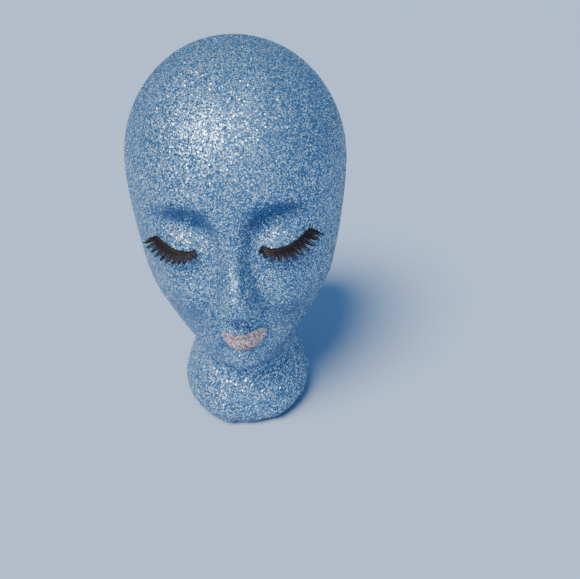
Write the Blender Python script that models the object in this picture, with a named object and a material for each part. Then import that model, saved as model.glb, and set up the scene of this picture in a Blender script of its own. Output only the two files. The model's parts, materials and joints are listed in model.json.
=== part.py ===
"""A display head for wigs and false lashes.

A moulded foam head stands on its own foot. A coat of glue and blue glitter covers it down to
just above the table, and a patch of pink glitter lies over the lips. Under each closed eyelid
a bead of glue holds a strip lash: a thread band and a row of hair clusters.

The head faces -Y, +Z is up, and the origin is on the table under the middle of the head.
Lengths are in millimetres until a mesh is made, which is in metres.
"""

import math

import bmesh
import bpy
import numpy as np
from mathutils import Matrix, Vector
from mathutils.bvhtree import BVHTree

MM = 0.001

# ---------------------------------------------------------------- driving sizes, in millimetres
HEAD_HEIGHT = 273.0
HEAD_WIDTH = 151.0
HEAD_BACK = 98.0  # from the neck's axis to the back of the skull
FACE_FRONT = 89.5  # from the neck's axis to the forehead
NECK_WIDTH = 74.0
FOOT_WIDTH = 99.0

COAT_THICKNESS = 1.2
FIT_GAP = 0.3  # between pieces that touch
LIP_GAP = 0.45  # under the lips, where both faces are curved
COAT_HEM = 1.0  # the coat stops this far above the table

SOCKET_DIAMETER = 28.0  # takes the peg of a table clamp or a tripod
SOCKET_DEPTH = 60.0
SOCKET_SIDES = 32

# Levels above the table.
FOOT_LEVEL = 21.0  # where the foot is widest
THROAT_LEVEL = 50.0
CHIN_LEVEL = 74.0
MOUTH_LEVEL = 98.5
NOSE_BASE_LEVEL = 115.5
NOSE_TIP_LEVEL = 133.0
LASH_LEVEL = 161.0
BROW_LEVEL = 193.0
WIDEST_LEVEL = 196.0

FACE_TILT = 2.5  # degrees that the face is turned about the chin, seen from the front
NOSE_RISE = 21.0
MOUTH_WIDTH = 29.5
LIP_MIDDLE = 1.5  # the lips are painted this far to one side
UPPER_LIP_HEIGHT = 5.6
LOWER_LIP_HEIGHT = 13.8
LIP_COAT_THICKNESS = 0.7

LASH_BAND_DIAMETER = 0.8
LASH_GLUE_DIAMETER = 0.6
LASH_CLUSTERS = 11  # on each strip
LASH_CLUSTER_WIDTH = 2.2  # at its root, along the band
LASH_CLUSTER_THICKNESS = 0.6
LASH_INNER_LENGTH = 5.5
LASH_OUTER_LENGTH = 10.5

# How each strip lies: where its band starts and ends beside the nose, how far the band sags below
# the lash level, and how far its outer end is lifted. The strips are stuck on by eye.
LASH_STRIPS = {
    "right": {"side": -1, "inner": 22.5, "outer": 45.5, "sag": 1.2, "lift": 5.0, "drop": -2.0},
    "left": {"side": 1, "inner": 18.0, "outer": 47.5, "sag": 2.0, "lift": 5.4, "drop": -1.9},
}

# How finely the head is meshed.
FACE_COLUMNS = 15  # from the middle of the face to the side
FACE_SPREAD = 0.28  # 1 spaces those evenly, and less crowds them towards the nose
BACK_COLUMNS = 7  # from the side to the middle of the back
COLUMNS = 2 * (FACE_COLUMNS + BACK_COLUMNS)
DOME_ROWS = 8
ROW_BANDS = (  # from, to, rows
    (COAT_HEM, THROAT_LEVEL, 5),
    (THROAT_LEVEL, CHIN_LEVEL + 8, 8),
    (CHIN_LEVEL + 8, NOSE_TIP_LEVEL, 14),
    (NOSE_TIP_LEVEL, WIDEST_LEVEL, 12),
)


# ---------------------------------------------------------------- curves
def between(low, high, share):
    return low + (high - low) * share


def through(points, at):
    """A smooth curve through (place, value) points, level at its last point."""
    places, values = np.array(points, float).T
    steps = np.diff(places)
    slopes = np.diff(values) / steps
    tangents = np.zeros(len(places))
    tangents[0] = slopes[0]
    tangents[1:-1] = (slopes[:-1] * steps[1:] + slopes[1:] * steps[:-1]) / (steps[1:] + steps[:-1])
    at = np.clip(at, places[0], places[-1])
    i = np.clip(np.searchsorted(places, at, side="right") - 1, 0, len(steps) - 1)
    t = (at - places[i]) / steps[i]
    return (
        (2 * t**3 - 3 * t**2 + 1) * values[i]
        + (t**3 - 2 * t**2 + t) * steps[i] * tangents[i]
        + (3 * t**2 - 2 * t**3) * values[i + 1]
        + (t**3 - t**2) * steps[i] * tangents[i + 1]
    )


def bell(distance):
    """1 in the middle of a swelling, falling smoothly to 0 at its rim, a distance of 1 away."""
    return (1 - np.clip(distance, 0, 1) ** 2) ** 2


def ease(low, high, value):
    t = np.clip((value - low) / (high - low), 0, 1)
    return t * t * (3 - 2 * t)


# ---------------------------------------------------------------- the head's level sections
HALF = HEAD_WIDTH / 2
NECK = NECK_WIDTH / 2
FOOT = FOOT_WIDTH / 2

HALF_WIDTHS = (
    (0, FOOT - 15),
    (5, FOOT - 7),
    (12, FOOT - 2),
    (FOOT_LEVEL, FOOT),
    (between(FOOT_LEVEL, THROAT_LEVEL, 0.5), between(FOOT, NECK, 0.28)),
    (THROAT_LEVEL, between(FOOT, NECK, 0.72)),
    (between(THROAT_LEVEL, CHIN_LEVEL, 0.55), NECK),
    (CHIN_LEVEL - 2, NECK + 1.5),
    (between(CHIN_LEVEL, MOUTH_LEVEL, 0.5), between(NECK, HALF, 0.325)),
    (MOUTH_LEVEL, between(NECK, HALF, 0.51)),
    (between(MOUTH_LEVEL, NOSE_TIP_LEVEL, 0.6), between(NECK, HALF, 0.745)),
    (between(NOSE_TIP_LEVEL, LASH_LEVEL, 0.25), between(NECK, HALF, 0.86)),
    (LASH_LEVEL, between(NECK, HALF, 0.94)),
    (between(LASH_LEVEL, WIDEST_LEVEL, 0.55), HALF - 0.5),
    (WIDEST_LEVEL, HALF),
)
FRONTS = (
    (0, FOOT - 2),
    (5, FOOT + 4),
    (12, FOOT + 7.5),
    (FOOT_LEVEL, FOOT + 7.5),
    (between(FOOT_LEVEL, THROAT_LEVEL, 0.5), FOOT + 2),
    (THROAT_LEVEL, FOOT - 2),
    (between(THROAT_LEVEL, CHIN_LEVEL, 0.22), FOOT - 1),
    (between(THROAT_LEVEL, CHIN_LEVEL, 0.45), FACE_FRONT - 28),
    (between(THROAT_LEVEL, CHIN_LEVEL, 0.72), FACE_FRONT - 18.5),
    (CHIN_LEVEL + 3, FACE_FRONT - 14.5),
    (MOUTH_LEVEL - 4, FACE_FRONT - 12),
    (between(MOUTH_LEVEL, NOSE_BASE_LEVEL, 0.6), FACE_FRONT - 9),
    (between(NOSE_BASE_LEVEL, NOSE_TIP_LEVEL, 0.5), FACE_FRONT - 7),
    (between(NOSE_TIP_LEVEL, LASH_LEVEL, 0.4), FACE_FRONT - 7.5),
    (LASH_LEVEL + 4, FACE_FRONT - 6.5),
    (BROW_LEVEL - 10, FACE_FRONT - 1.5),
    (WIDEST_LEVEL, FACE_FRONT),
)
BACKS = (
    (0, FOOT - 6),
    (5, FOOT - 0.5),
    (12, FOOT + 3),
    (FOOT_LEVEL, FOOT + 4),
    (THROAT_LEVEL - 4, FOOT - 2),
    (CHIN_LEVEL - 6, FOOT),
    (MOUTH_LEVEL - 5, between(FOOT, HEAD_BACK, 0.25)),
    (between(MOUTH_LEVEL, NOSE_TIP_LEVEL, 0.6), between(FOOT, HEAD_BACK, 0.6)),
    (between(NOSE_TIP_LEVEL, LASH_LEVEL, 0.45), between(FOOT, HEAD_BACK, 0.84)),
    (between(LASH_LEVEL, WIDEST_LEVEL, 0.25), HEAD_BACK - 2),
    (WIDEST_LEVEL, HEAD_BACK),
)
# Where across the depth a section is widest, behind the neck's axis.
MIDDLES = (
    (0, 0),
    (THROAT_LEVEL, 0),
    (CHIN_LEVEL + 2, -4),
    (MOUTH_LEVEL + 6, -2),
    (NOSE_TIP_LEVEL, 2),
    (LASH_LEVEL, 8),
    (WIDEST_LEVEL, 12),
)
# 2 is an ellipse, less draws the front to a point and more squares it.
FRONT_SQUARENESS = (
    (0, 2.0),
    (THROAT_LEVEL, 2.0),
    (CHIN_LEVEL - 8, 1.75),
    (CHIN_LEVEL + 7, 1.75),
    (MOUTH_LEVEL + 6, 1.85),
    (NOSE_TIP_LEVEL - 3, 2.05),
    (LASH_LEVEL, 2.2),
    (WIDEST_LEVEL, 2.2),
)
BACK_SQUARENESS = 2.1
CROWN_SETBACK = 10.0  # the crown's highest point is this far behind the neck's axis

NOSE_PROFILE = (  # level, how far the ridge stands out
    (NOSE_BASE_LEVEL, 0),
    (NOSE_BASE_LEVEL + 2.0, 0.16 * NOSE_RISE),
    (NOSE_BASE_LEVEL + 4.5, 0.55 * NOSE_RISE),
    (NOSE_BASE_LEVEL + 8.5, 0.87 * NOSE_RISE),
    (NOSE_TIP_LEVEL - 3.5, 0.98 * NOSE_RISE),
    (NOSE_TIP_LEVEL + 1, NOSE_RISE),
    (NOSE_TIP_LEVEL + 7, 0.90 * NOSE_RISE),
    (between(NOSE_TIP_LEVEL, LASH_LEVEL, 0.6), 0.66 * NOSE_RISE),
    (LASH_LEVEL, 0.44 * NOSE_RISE),
    (between(LASH_LEVEL, BROW_LEVEL, 0.35), 0.24 * NOSE_RISE),
    (between(LASH_LEVEL, BROW_LEVEL, 0.7), 0.10 * NOSE_RISE),
    (BROW_LEVEL + 4, 0),
)
NOSE_HALF_WIDTHS = (
    (NOSE_BASE_LEVEL, 19.0),
    (NOSE_BASE_LEVEL + 8, 19.0),
    (NOSE_TIP_LEVEL, 16.5),
    (between(NOSE_TIP_LEVEL, LASH_LEVEL, 0.5), 12.5),
    (LASH_LEVEL, 11.5),
    (between(LASH_LEVEL, BROW_LEVEL, 0.4), 14.0),
    (BROW_LEVEL + 4, 26.0),
)

# The face's other swellings and hollows, the same on both sides:
# how far from the middle, level, reach across, reach up and down, and rise.
SWELLINGS = {
    "nostril wing": (12.0, NOSE_BASE_LEVEL + 8.5, 8.0, 7.5, 5.0),
    "eye socket": (28.0, LASH_LEVEL + 16.0, 26.0, 18.0, -6.2),
    "inner corner": (16.5, LASH_LEVEL + 10.0, 10.5, 15.0, -3.6),
    "eyelid": (33.0, LASH_LEVEL + 3.5, 20.0, 15.0, 4.6),
    "brow": (30.0, BROW_LEVEL + 1.0, 32.0, 13.0, 2.0),
    "cheekbone": (35.0, LASH_LEVEL - 31.0, 27.0, 28.0, 4.8),
    "cheek hollow": (29.0, MOUTH_LEVEL + 5.0, 18.0, 22.0, -1.6),
    "muzzle": (0.0, MOUTH_LEVEL + 3.0, 26.0, 21.0, 2.6),
    "upper lip": (4.0, MOUTH_LEVEL + 4.0, 12.5, 5.8, 2.6),
    "lower lip": (0.0, MOUTH_LEVEL - 5.5, 14.0, 8.0, 4.0),
    "lip crease": (0.0, MOUTH_LEVEL - 13.0, 18.0, 6.5, -0.8),
    "chin": (0.0, CHIN_LEVEL - 1.0, 22.0, 13.0, 3.2),
}


def turned(across, level, degrees):
    """A place on the front of the head, turned about the chin."""
    turn = math.radians(degrees)
    up = level - CHIN_LEVEL
    return (
        across * math.cos(turn) - up * math.sin(turn),
        CHIN_LEVEL + up * math.cos(turn) + across * math.sin(turn),
    )


def face_relief(across, level):
    """How far the nose, eyes, lips and chin stand out of the plain section."""
    across, level = turned(across, level, -FACE_TILT)
    off_middle = np.abs(across)
    nose = through(NOSE_PROFILE, level) * (level > NOSE_BASE_LEVEL) * (level < BROW_LEVEL + 4)
    relief = nose * (1 - ease(0.14, 1, off_middle / through(NOSE_HALF_WIDTHS, level)))
    for middle, height, reach, climb, rise in SWELLINGS.values():
        relief = relief + rise * bell(np.hypot((off_middle - middle) / reach, (level - height) / climb))
    return relief


def section(level, shrink, crown_share):
    """Half width, front, back, middle and squareness of the level section, as it closes to the crown."""
    half = through(HALF_WIDTHS, level) * shrink
    middle, front, back = (
        between(CROWN_SETBACK, value, shrink)
        for value in (through(MIDDLES, level), -through(FRONTS, level), through(BACKS, level))
    )
    return half, front, back, middle, through(FRONT_SQUARENESS, level) - 0.2 * crown_share


def head_points(angles, level, dome=0.0):
    """Points round the head. dome runs from 0 at the widest level to a right angle at the crown."""
    shrink = math.cos(dome)
    half, front, back, middle, squareness = section(level, shrink, 1 - shrink)
    height = level + (HEAD_HEIGHT - level) * math.sin(dome)
    ahead, aside = np.cos(angles), np.sin(angles)
    x = half * np.sign(aside) * np.abs(aside) ** (2 / squareness)
    y = np.where(
        ahead > 0,
        middle - (middle - front) * np.abs(ahead) ** (2 / squareness),
        middle + (back - middle) * np.abs(ahead) ** (2 / BACK_SQUARENESS),
    )
    y = y - face_relief(x, height) * ease(0, 0.35, ahead)
    return np.stack([x, y, np.full_like(x, height)], axis=-1)


def smooth_face(across, level):
    """The point of the head's face at this place, seen from the front."""
    half, front, _, middle, squareness = section(level, 1.0, 0.0)
    reach = 1 - np.abs(across / half) ** squareness
    ahead = reach**0.5
    y = middle - (middle - front) * reach ** (1 / squareness)
    return np.array([across, y - face_relief(across, level) * ease(0, 0.35, ahead), level])


def face_normal(across, level):
    """Which way the face looks there."""
    step = 0.5
    sideways = smooth_face(across + step, level) - smooth_face(across - step, level)
    upwards = smooth_face(across, level + step) - smooth_face(across, level - step)
    normal = np.cross(sideways, upwards)
    return normal / np.linalg.norm(normal)


def column_angles():
    """One angle for each column round the head, 0 at the middle of the face."""
    share = np.arange(FACE_COLUMNS + 1) / FACE_COLUMNS
    face = math.pi / 2 * (FACE_SPREAD * share + (1 - FACE_SPREAD) * share**2.8)
    behind = np.linspace(math.pi / 2, math.pi, BACK_COLUMNS + 1)[1:]
    left = np.concatenate([face, behind])
    return np.concatenate([-left[:0:-1], left[:-1]])


def head_grid(lowest):
    """Rows of points up the coat's outer face, from the lowest level, and the crown's one point."""
    levels = [lowest]
    for low, high, rows in ROW_BANDS:
        levels += [level for level in np.linspace(low, high, rows + 1)[1:]]
    if lowest < COAT_HEM:
        levels.insert(1, COAT_HEM)
    angles = column_angles()
    rows = [head_points(angles, level) for level in levels]
    domes = np.linspace(0, math.pi / 2, DOME_ROWS + 1)[1:-1]
    rows += [head_points(angles, WIDEST_LEVEL, dome) for dome in domes]
    return np.array(rows), np.array([0, CROWN_SETBACK, HEAD_HEIGHT])


COAT_ROWS, CROWN = head_grid(COAT_HEM)

# Half way from the tip of the nose to the back of the head, which the origin lies under.
MIDDLE_Y = (COAT_ROWS[:, :, 1].min() + COAT_ROWS[:, :, 1].max()) / 2


# ---------------------------------------------------------------- making objects
def material(name, colour, roughness, metallic=0.0):
    made = bpy.data.materials.new(name)
    made.use_nodes = True
    shader = made.node_tree.nodes["Principled BSDF"]
    shader.inputs["Base Color"].default_value = (*colour, 1.0)
    shader.inputs["Roughness"].default_value = roughness
    shader.inputs["Metallic"].default_value = metallic
    return made


def add_object(name, data, finish, parent, place=(0, 0, 0)):
    """Links an object whose mesh or curve is in millimetres about the neck's axis."""
    data.transform(Matrix.Translation((0, -MIDDLE_Y * MM, 0)) @ Matrix.Scale(MM, 4))
    data.transform(Matrix.Translation(-Vector(place)))
    data.materials.append(finish)
    made = bpy.data.objects.new(name, data)
    made.location = place
    made.parent = parent
    bpy.context.scene.collection.objects.link(made)
    return made


def empty(name, parent=None):
    made = bpy.data.objects.new(name, None)
    made.parent = parent
    bpy.context.scene.collection.objects.link(made)
    return made


def mesh_of(name, body):
    """A mesh with its faces pointing out, from a closed bmesh."""
    bmesh.ops.recalc_face_normals(body, faces=body.faces)
    made = bpy.data.meshes.new(name)
    body.to_mesh(made)
    body.free()
    made.shade_smooth()
    made.set_sharp_from_angle(angle=math.radians(50))
    return made


def placed(point):
    """A point about the neck's axis in millimetres, as a place in the scene in metres."""
    return Vector(((point[0]) * MM, (point[1] - MIDDLE_Y) * MM, point[2] * MM))


# ---------------------------------------------------------------- the foam head and its coat
def sunk(rows, crown, depth):
    """The same grid, moved in along its normals, with its lowest ring kept at its level."""
    round_it = np.roll(rows, -1, axis=1) - np.roll(rows, 1, axis=1)
    up_it = np.gradient(rows, axis=0)
    normals = np.cross(round_it, up_it)
    normals /= np.linalg.norm(normals, axis=2, keepdims=True)
    moved = rows - normals * depth
    flat = normals[0].copy()
    flat[:, 2] = 0
    flat /= np.linalg.norm(flat, axis=1, keepdims=True)
    moved[0] = rows[0] - flat * depth
    return moved, crown - np.array([0, 0, depth])


def dome_triangles(rows):
    """Three places in the grid for each triangle, split alike on both sides of the face."""
    triangles = []
    for row in range(rows - 1):
        for i in range(COLUMNS):
            low, next_low = row * COLUMNS + i, row * COLUMNS + (i + 1) % COLUMNS
            high, next_high = low + COLUMNS, next_low + COLUMNS
            if i < COLUMNS / 2:
                triangles += [(low, next_low, next_high), (low, next_high, high)]
            else:
                triangles += [(low, next_low, high), (next_low, next_high, high)]
    last = (rows - 1) * COLUMNS
    return triangles + [(last + i, last + (i + 1) % COLUMNS, rows * COLUMNS) for i in range(COLUMNS)]


def add_dome(body, rows, crown):
    """Skins a grid, closed at the crown. Returns its lowest ring of vertices."""
    points = [body.verts.new(point) for point in (*rows.reshape(-1, 3), crown)]
    for corners in dome_triangles(len(rows)):
        body.faces.new([points[corner] for corner in corners])
    return points[:COLUMNS]


def skin_tree():
    """The coat's outer face as it is meshed, for finding the points that pieces are stuck to."""
    points = [Vector(point) for point in (*COAT_ROWS.reshape(-1, 3), CROWN)]
    return BVHTree.FromPolygons(points, dome_triangles(len(COAT_ROWS)))


SKIN = skin_tree()


def face_point(across, level):
    """The point of the meshed coat at this place, found along a line from in front of the face."""
    hit = SKIN.ray_cast(Vector((across, -2 * HEAD_HEIGHT, level)), Vector((0, 1, 0)))[0]
    return np.array(hit)


def glitter_coat(finish, parent):
    body = bmesh.new()
    outside = add_dome(body, COAT_ROWS, CROWN)
    inside = add_dome(body, *sunk(COAT_ROWS, CROWN, COAT_THICKNESS))
    for i in range(COLUMNS):
        j = (i + 1) % COLUMNS
        body.faces.new((outside[i], outside[j], inside[j], inside[i]))
    return add_object("glitter_coat", mesh_of("glitter_coat", body), finish, parent)


def foam_head(finish, parent):
    rows, crown = head_grid(0.0)
    body = bmesh.new()
    sole = add_dome(body, *sunk(rows, crown, COAT_THICKNESS + FIT_GAP))
    body.faces.new(sole)
    head = add_object("foam_head", mesh_of("foam_head", body), finish, parent)
    cut = head.modifiers.new("clamp socket", "BOOLEAN")
    cut.operation = "DIFFERENCE"
    cut.object = socket_cutter(parent)
    return head


def socket_cutter(parent):
    """A blind hole up the neck's axis, as long again below the table, so that it cuts the sole cleanly."""
    body = bmesh.new()
    bmesh.ops.create_cone(
        body,
        cap_ends=True,
        segments=SOCKET_SIDES,
        radius1=SOCKET_DIAMETER / 2,
        radius2=SOCKET_DIAMETER / 2,
        depth=SOCKET_DEPTH * 2,
    )
    made = bpy.data.meshes.new("socket_cutter")
    body.to_mesh(made)
    body.free()
    cutter = bpy.data.objects.new("socket_cutter", made)
    made.transform(Matrix.Scale(MM, 4))
    cutter.location = placed((0, 0, 0))
    cutter.parent = parent
    cutter.hide_render = True
    cutter.display_type = "WIRE"
    bpy.context.scene.collection.objects.link(cutter)
    return cutter


# ---------------------------------------------------------------- the lips
LIP_COLUMNS = 20
LIP_ROWS = 10
# The painted edges: shares of the half width, and of each lip's height.
UPPER_EDGE = (
    (-1, 0.36),
    (-0.86, 0.76),
    (-0.58, 0.87),
    (-0.14, 0.68),
    (0.3, 0.92),
    (0.8, 1.0),
    (1, 0.72),
)
LOWER_EDGE = (
    (-1, 0.1),
    (-0.75, 0.52),
    (-0.4, 0.86),
    (0, 1.0),
    (0.45, 0.84),
    (0.82, 0.44),
    (1, 0.04),
)


def lip_point(share, climb, rise):
    """A point of the patch: share runs from -1 at one corner to 1 at the other, climb from 0 at the
    lower edge to 1 at the upper one."""
    lower = MOUTH_LEVEL - LOWER_LIP_HEIGHT * through(LOWER_EDGE, share)
    upper = MOUTH_LEVEL + UPPER_LIP_HEIGHT * through(UPPER_EDGE, share)
    across = LIP_MIDDLE + share * MOUTH_WIDTH / 2
    across, level = turned(across, between(lower, upper, climb), FACE_TILT)
    return face_point(across, level) + face_normal(across, level) * rise


def lip_glitter(finish, parent):
    """A thin patch that follows the coat over the lips, thinner towards its edge."""
    body = bmesh.new()
    front, back = [], []
    for share in np.linspace(-1, 1, LIP_COLUMNS + 1):
        outer, inner = [], []
        for climb in np.linspace(0, 1, LIP_ROWS + 1):
            rim = min(1.0, 5 * min(climb, 1 - climb), 4 * (1 - abs(share)) + 0.2)
            thickness = LIP_COAT_THICKNESS * (0.35 + 0.65 * rim)
            outer.append(body.verts.new(lip_point(share, climb, LIP_GAP + thickness)))
            inner.append(body.verts.new(lip_point(share, climb, LIP_GAP)))
        front.append(outer)
        back.append(inner)
    for skin in (front, back):
        for low, high in zip(skin, skin[1:]):
            for row in range(LIP_ROWS):
                body.faces.new((low[row], high[row], high[row + 1], low[row + 1]))
    rim = [(column, 0) for column in range(LIP_COLUMNS)]
    rim += [(LIP_COLUMNS, row) for row in range(LIP_ROWS)]
    rim += [(column, LIP_ROWS) for column in range(LIP_COLUMNS, 0, -1)]
    rim += [(0, row) for row in range(LIP_ROWS, 0, -1)]
    for (i, j), (k, m) in zip(rim, rim[1:] + rim[:1]):
        body.faces.new((front[i][j], front[k][m], back[k][m], back[i][j]))
    return add_object(
        "lip_glitter", mesh_of("lip_glitter", body), finish, parent, placed(face_point(0.0, MOUTH_LEVEL))
    )


# ---------------------------------------------------------------- the lashes
BAND_POINTS = 16


def band_frame(strip, share, lift):
    """Where the band is at this share of its length, lifted off the coat, and its three directions:
    out along the band, down the cheek, and away from the skin."""

    def on_skin(at):
        across = strip["side"] * between(strip["inner"], strip["outer"], at)
        sag = strip["sag"] * math.sin(math.pi * min(max(at, 0), 1) ** 0.8)
        level = LASH_LEVEL - strip["drop"] - sag + strip["lift"] * max(at, 0) ** 2.2
        return turned(across, level, FACE_TILT)

    across, level = on_skin(share)
    normal = face_normal(across, level)
    along = face_point(*on_skin(share + 0.02)) - face_point(*on_skin(share - 0.02))
    along -= normal * (along @ normal)
    along /= np.linalg.norm(along)
    down = np.cross(along, normal) * strip["side"]
    return face_point(across, level) + normal * lift, along, down, normal


GLUE_LIFT = FIT_GAP + LASH_GLUE_DIAMETER / 2
BAND_LIFT = GLUE_LIFT + LASH_GLUE_DIAMETER / 2 + FIT_GAP + LASH_BAND_DIAMETER / 2
ROOT_STEP = LASH_BAND_DIAMETER / 2 + FIT_GAP + LASH_CLUSTER_THICKNESS / 2


def tube_along(name, points, diameter, finish, parent):
    """A round thread through these points, with filled ends."""
    curve = bpy.data.curves.new(name, "CURVE")
    curve.dimensions = "3D"
    curve.bevel_depth = diameter / 2 * MM
    curve.bevel_resolution = 1
    curve.use_fill_caps = True
    spline = curve.splines.new("POLY")
    spline.points.add(len(points) - 1)
    middle = placed(points[len(points) // 2])
    for place, point in zip(spline.points, points):
        place.co = (*(placed(point) - middle), 1)
    curve.materials.append(finish)
    made = bpy.data.objects.new(name, curve)
    made.location = middle
    made.parent = parent
    bpy.context.scene.collection.objects.link(made)
    return made


def cluster_path(strip, share, steps):
    """The line that one cluster of hairs follows, out of the band, down, then curling up off the cheek,
    and the direction across it."""
    root, along, down, normal = band_frame(strip, share, BAND_LIFT)
    fan = math.radians(between(-6, 36, share**1.4))
    length = between(LASH_INNER_LENGTH, LASH_OUTER_LENGTH, min(1.0, share * 1.9) ** 0.8)
    heading = down * math.cos(fan) + along * math.sin(fan)
    point = root + (heading * 0.8 + normal * 0.6) * ROOT_STEP
    points = [point]
    for step in range(steps):
        rise = math.radians(between(28, 62, step / steps))
        point = point + (heading * math.cos(rise) + normal * math.sin(rise)) * length / steps
        points.append(point)
    return points, np.cross(heading, normal)


CLUSTER_SIDES = 6
CLUSTER_STEPS = 5


def lash_cluster(name, strip, share, finish, parent):
    """One bundle of hairs as a flat curved spike, wide along the band and drawn to a point."""
    path, across = cluster_path(strip, share, CLUSTER_STEPS)
    body = bmesh.new()
    rings = []
    for step, point in enumerate(path[:-1]):
        forward = path[step + 1] - point
        forward /= np.linalg.norm(forward)
        over = np.cross(across, forward)
        narrowing = (1 - step / CLUSTER_STEPS) ** 0.8
        ring = []
        for turn in np.arange(CLUSTER_SIDES) * 2 * math.pi / CLUSTER_SIDES:
            wide = across * math.cos(turn) * LASH_CLUSTER_WIDTH / 2
            thick = over * math.sin(turn) * LASH_CLUSTER_THICKNESS / 2
            ring.append(body.verts.new(point + (wide + thick) * narrowing))
        rings.append(ring)
    tip = body.verts.new(path[-1])
    body.faces.new(rings[0])
    for low, high in zip(rings, rings[1:]):
        for i in range(CLUSTER_SIDES):
            j = (i + 1) % CLUSTER_SIDES
            body.faces.new((low[i], low[j], high[j], high[i]))
    for i in range(CLUSTER_SIDES):
        body.faces.new((rings[-1][i], rings[-1][(i + 1) % CLUSTER_SIDES], tip))
    return add_object(name, mesh_of(name, body), finish, parent, placed(path[0]))


def strip_lash(side, strip, glue, thread, hair, parent):
    """Everything that is stuck under one eyelid."""
    holder = empty(f"strip_lash_{side}", parent)
    shares = np.linspace(0, 1, BAND_POINTS)
    for name, lift, diameter, finish in (
        (f"lash_glue_{side}", GLUE_LIFT, LASH_GLUE_DIAMETER, glue),
        (f"lash_band_{side}", BAND_LIFT, LASH_BAND_DIAMETER, thread),
    ):
        points = [band_frame(strip, share, lift)[0] for share in shares]
        tube_along(name, points, diameter, finish, holder)
    for k in range(LASH_CLUSTERS):
        share = between(0.03, 0.98, k / (LASH_CLUSTERS - 1))
        lash_cluster(f"lash_cluster_{side}_{k + 1:02d}", strip, share, hair, holder)


# ---------------------------------------------------------------- the whole
def main():
    for old in list(bpy.data.objects):
        bpy.data.objects.remove(old)
    foam = material("white foam", (0.90, 0.91, 0.90), 0.85)
    blue = material("blue glitter", (0.20, 0.42, 0.66), 0.35, 0.6)
    pink = material("pink glitter", (0.78, 0.55, 0.58), 0.35, 0.6)
    glue = material("clear lash glue", (0.30, 0.31, 0.34), 0.25)
    thread = material("black thread", (0.012, 0.010, 0.010), 0.6)
    hair = material("black hair", (0.020, 0.014, 0.013), 0.35)

    display_head = empty("display_head")
    foam_head(foam, display_head)
    glitter_coat(blue, display_head)
    lip_glitter(pink, display_head)
    for side, strip in LASH_STRIPS.items():
        strip_lash(side, strip, glue, thread, hair, display_head)


main()
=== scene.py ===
# %% [markdown]
# # A glittered display head
#
# The object is a head for showing wigs and false lashes. A white foam head is brushed with glue and
# rolled in blue and silver glitter, its lips get pink glitter, and a strip lash is glued under each
# closed eyelid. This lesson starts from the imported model, which says how large each piece is and
# where it sits, and gives every piece its real surface. Nothing on the head moves, so every piece
# rides on the one body, called root.

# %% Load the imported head
import json
import math

import bpy
import numpy as np
from mathutils import Matrix, Vector
from mathutils.bvhtree import BVHTree

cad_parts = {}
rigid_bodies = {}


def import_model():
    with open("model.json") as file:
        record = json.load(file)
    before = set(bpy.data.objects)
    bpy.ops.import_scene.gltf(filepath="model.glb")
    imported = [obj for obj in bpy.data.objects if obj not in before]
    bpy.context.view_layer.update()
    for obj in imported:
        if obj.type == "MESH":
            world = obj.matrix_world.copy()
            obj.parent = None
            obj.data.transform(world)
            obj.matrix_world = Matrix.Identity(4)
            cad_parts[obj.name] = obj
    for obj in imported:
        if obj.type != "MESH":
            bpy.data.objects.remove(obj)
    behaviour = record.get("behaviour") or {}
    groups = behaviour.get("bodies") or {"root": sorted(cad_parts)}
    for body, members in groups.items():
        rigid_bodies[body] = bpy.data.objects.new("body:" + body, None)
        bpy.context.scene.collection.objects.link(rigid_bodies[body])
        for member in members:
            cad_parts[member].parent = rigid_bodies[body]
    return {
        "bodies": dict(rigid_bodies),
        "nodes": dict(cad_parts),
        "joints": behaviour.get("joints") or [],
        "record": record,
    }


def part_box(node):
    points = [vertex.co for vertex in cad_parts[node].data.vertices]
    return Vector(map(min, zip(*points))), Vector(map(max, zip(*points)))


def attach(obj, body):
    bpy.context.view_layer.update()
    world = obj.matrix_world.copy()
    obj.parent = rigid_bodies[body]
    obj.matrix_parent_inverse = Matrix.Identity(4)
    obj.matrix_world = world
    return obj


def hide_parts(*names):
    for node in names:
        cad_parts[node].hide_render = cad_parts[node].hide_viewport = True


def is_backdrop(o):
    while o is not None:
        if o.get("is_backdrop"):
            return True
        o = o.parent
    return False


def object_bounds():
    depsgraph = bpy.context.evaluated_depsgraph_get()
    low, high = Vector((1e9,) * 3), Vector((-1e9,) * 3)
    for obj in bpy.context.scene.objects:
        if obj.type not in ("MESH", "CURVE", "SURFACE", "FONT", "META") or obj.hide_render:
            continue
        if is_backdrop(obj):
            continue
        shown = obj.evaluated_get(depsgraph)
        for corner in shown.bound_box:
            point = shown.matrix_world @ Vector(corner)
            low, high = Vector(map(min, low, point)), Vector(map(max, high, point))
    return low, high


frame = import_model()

cad_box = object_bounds()
MM = 0.001
print("nodes:", len(frame["nodes"]))
print("box in mm:", [round((high - low) / MM, 1) for low, high in zip(*cad_box)])

# %% [markdown]
# ## The camera, the floor and the light
#
# The head is looked down on from close by, so its crown is large and its foot is small. A camera is
# a place, a direction and a lens, and here all three are plain numbers about the head. The key light
# is a broad distant lamp high on the left, which leaves the right side of the face darker. A weak
# lamp on the right, the pale floor and a blue sky fill the shadows.

# %% Camera
CAMERA_PLACE = (0.0105, -0.4078, 0.3080)
CAMERA_TURN = -3.49  # degrees, 0 looks along +Y
CAMERA_PITCH = 27.83  # degrees below the horizon
CAMERA_ROLL = -0.62
LENS_MM = 37.24

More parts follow.
